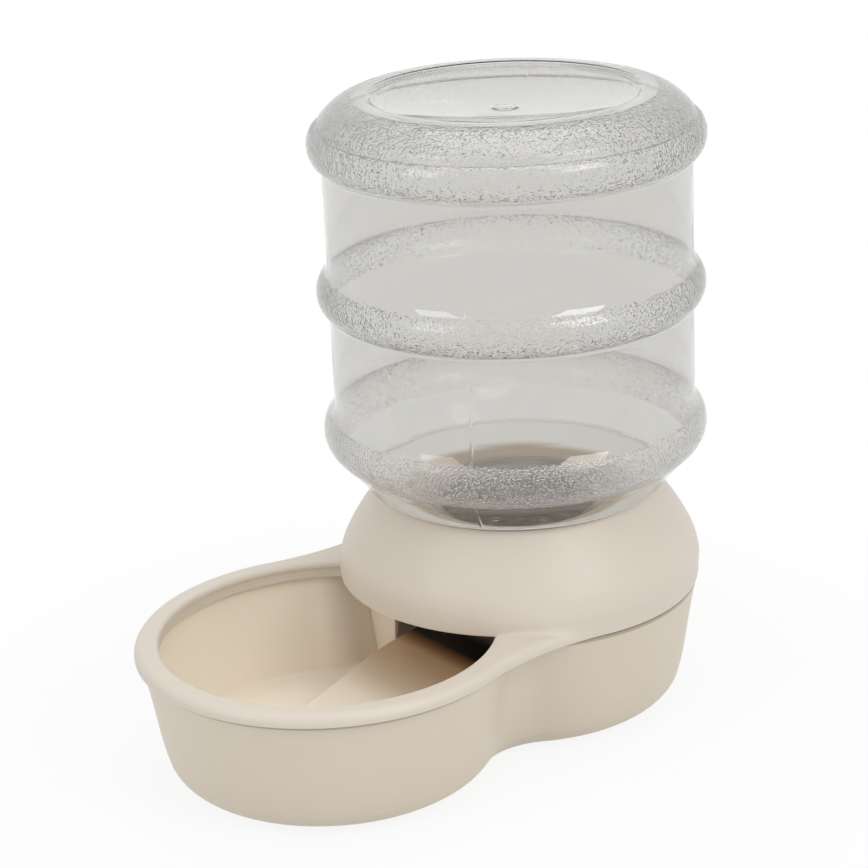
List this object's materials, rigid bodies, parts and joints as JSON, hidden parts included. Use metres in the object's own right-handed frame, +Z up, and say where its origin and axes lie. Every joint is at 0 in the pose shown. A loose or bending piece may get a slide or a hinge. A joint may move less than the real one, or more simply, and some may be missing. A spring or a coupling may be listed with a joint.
{
  "type": "automatic pet waterer",
  "caption": "Gravity pet waterer: an inverted clear bottle stands in a domed holder and feeds an open round bowl through a valve.",
  "frame": {"origin": "centre of the footprint, on the floor", "axes": "+Z up; the bowl is towards -Y and the bottle towards +Y"},
  "size_m": [0.172, 0.2784, 0.2802],
  "materials": {
    "tub_plastic": "satin moulded",
    "frame_plastic": "satin moulded",
    "clear_plastic": "clear blown, pebbled beads",
    "cap_plastic": "moulded",
    "valve_plastic": "moulded",
    "seal_rubber": "soft",
    "spring_steel": "drawn wire",
    "foot_rubber": "matt"
  },
  "bodies": {
    "base": {"base_tub": "tub_plastic", "top_frame": "frame_plastic", "front_left_foot": "foot_rubber", "front_right_foot": "foot_rubber", "rear_left_foot": "foot_rubber", "rear_right_foot": "foot_rubber"},
    "cap": {"bottle_cap": "cap_plastic", "valve_spring": "spring_steel"},
    "gasket": {"cap_gasket": "seal_rubber"},
    "bottle": {"water_bottle": "clear_plastic"},
    "valve": {"valve_stem": "valve_plastic", "valve_seal": "seal_rubber", "valve_retainer": "valve_plastic"}
  },
  "joints": [
    {"name": "bottle_lift", "type": "slide", "parent": "base", "child": "cap", "axis": [0, 0, 1], "range_m": [0, 0.075]},
    {"name": "bottle_unscrew", "type": "hinge", "parent": "cap", "child": "gasket", "pos_m": [0, 0.0532, 0.0562], "axis": [0, 0, 1], "range_deg": [0, 720]},
    {"name": "thread_rise", "type": "slide", "parent": "gasket", "child": "bottle", "axis": [0, 0, 1], "range_m": [0, 0.012]},
    {"name": "valve_travel", "type": "slide", "parent": "cap", "child": "valve", "axis": [0, 0, 1], "range_m": [-0.005, 0], "deforming": ["valve_spring"]}
  ],
  "couplings": [
    {"joint": "thread_rise", "follows": "bottle_unscrew", "m_per_rad": 0.00095493},
    {"joint": "valve_travel", "follows": "bottle_lift", "ratio": -0.066667}
  ]
}
